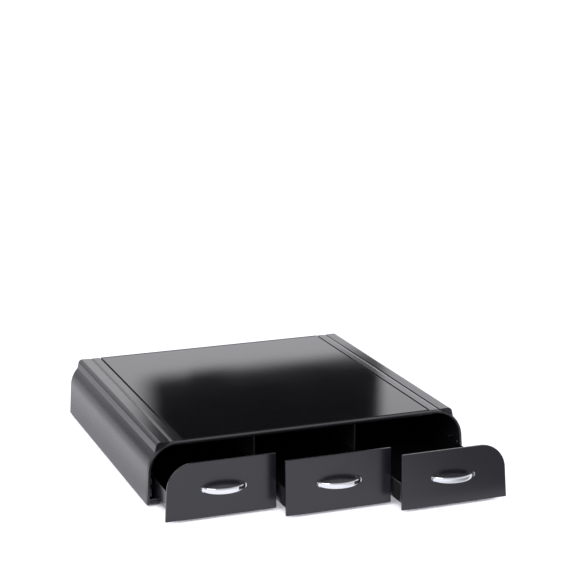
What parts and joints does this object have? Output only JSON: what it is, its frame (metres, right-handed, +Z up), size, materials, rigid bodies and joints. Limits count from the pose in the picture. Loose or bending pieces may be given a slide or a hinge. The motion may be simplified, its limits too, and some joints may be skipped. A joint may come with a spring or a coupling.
{
  "type": "coffee pod drawer",
  "caption": "Low black casing that stands under a coffee machine, with side-by-side sliding drawers for coffee pods and chrome bow handles.",
  "frame": {"origin": "on the surface the casing stands on, under the middle of the casing; the underside of the base panel is 2 mm above it, on its rubber feet", "axes": "+Z up, +Y to the back, +X to the right as seen from the front; the drawers pull out along -Y"},
  "size_m": [0.34, 0.446, 0.0639],
  "materials": {
    "casing_abs": "satin moulded black",
    "top_abs": "fine-grained satin black",
    "inner_abs": "plain moulded black",
    "tray_abs": "satin moulded black",
    "front_abs": "satin moulded black",
    "handle_chrome": "bright chrome plate",
    "screw_steel": "zinc-plated",
    "foot_rubber": "soft black"
  },
  "bodies": {
    "casing": {"front_frame": "casing_abs", "left_side_panel": "casing_abs", "right_side_panel": "casing_abs", "top_panel": "top_abs", "rear_panel": "casing_abs", "base_panel": "inner_abs", "left_divider": "inner_abs", "right_divider": "inner_abs", "base_screws": "screw_steel", "front_left_foot": "foot_rubber", "front_right_foot": "foot_rubber", "rear_left_foot": "foot_rubber", "rear_right_foot": "foot_rubber"},
    "left_drawer": {"left_tray": "tray_abs", "left_front": "front_abs", "left_handle": "handle_chrome", "left_handle_screws": "screw_steel"},
    "middle_drawer": {"middle_tray": "tray_abs", "middle_front": "front_abs", "middle_handle": "handle_chrome", "middle_handle_screws": "screw_steel"},
    "right_drawer": {"right_tray": "tray_abs", "right_front": "front_abs", "right_handle": "handle_chrome", "right_handle_screws": "screw_steel"}
  },
  "joints": [
    {"name": "left_slide", "type": "slide", "parent": "casing", "child": "left_drawer", "axis": [0, -1, 0], "range_m": [-0.053, 0.182]},
    {"name": "middle_slide", "type": "slide", "parent": "casing", "child": "middle_drawer", "axis": [0, -1, 0], "range_m": [-0.0792, 0.1558]},
    {"name": "right_slide", "type": "slide", "parent": "casing", "child": "right_drawer", "axis": [0, -1, 0], "range_m": [-0.105, 0.13]}
  ]
}
